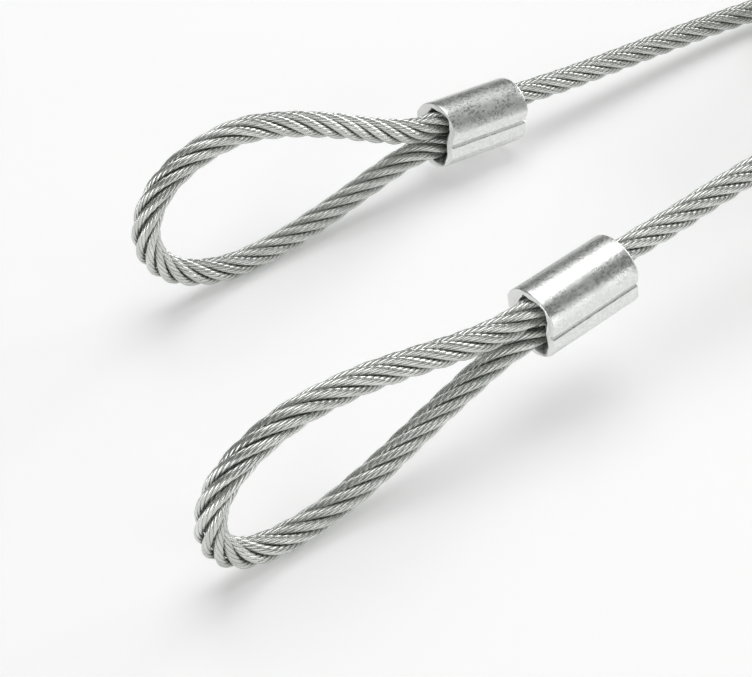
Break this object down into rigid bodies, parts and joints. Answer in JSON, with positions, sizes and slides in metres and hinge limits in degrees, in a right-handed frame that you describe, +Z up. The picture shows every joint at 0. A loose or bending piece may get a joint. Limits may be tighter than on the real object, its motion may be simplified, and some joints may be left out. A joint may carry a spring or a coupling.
{
  "type": "wire rope sling",
  "caption": "Galvanised steel wire rope sling with a soft eye pressed into an oval aluminium ferrule at each end and its middle coiled and tied.",
  "frame": {"origin": "middle of the whole sling's footprint, on the surface it lies on", "axes": "+X from the two eyes towards the coil, +Y from end a's side to end b's side, +Z up; both eyes stand in upright planes along X"},
  "size_m": [0.2018, 0.0616, 0.0277],
  "materials": {
    "zinc_wire": "galvanised stranded wire",
    "ferrule_alloy": "satin, pressed and finely scratched",
    "tie_nylon": "black moulded nylon"
  },
  "bodies": {
    "root": {"coil": "zinc_wire", "coil_tie_1": "tie_nylon", "coil_tie_2": "tie_nylon", "coil_tie_3": "tie_nylon", "cut_end_a": "zinc_wire", "cut_end_b": "zinc_wire", "eye_a": "zinc_wire", "eye_b": "zinc_wire", "ferrule_a": "ferrule_alloy", "ferrule_b": "ferrule_alloy", "leg_a": "zinc_wire", "leg_b": "zinc_wire", "live_rope_a": "zinc_wire", "live_rope_b": "zinc_wire"}
  },
  "joints": []
}
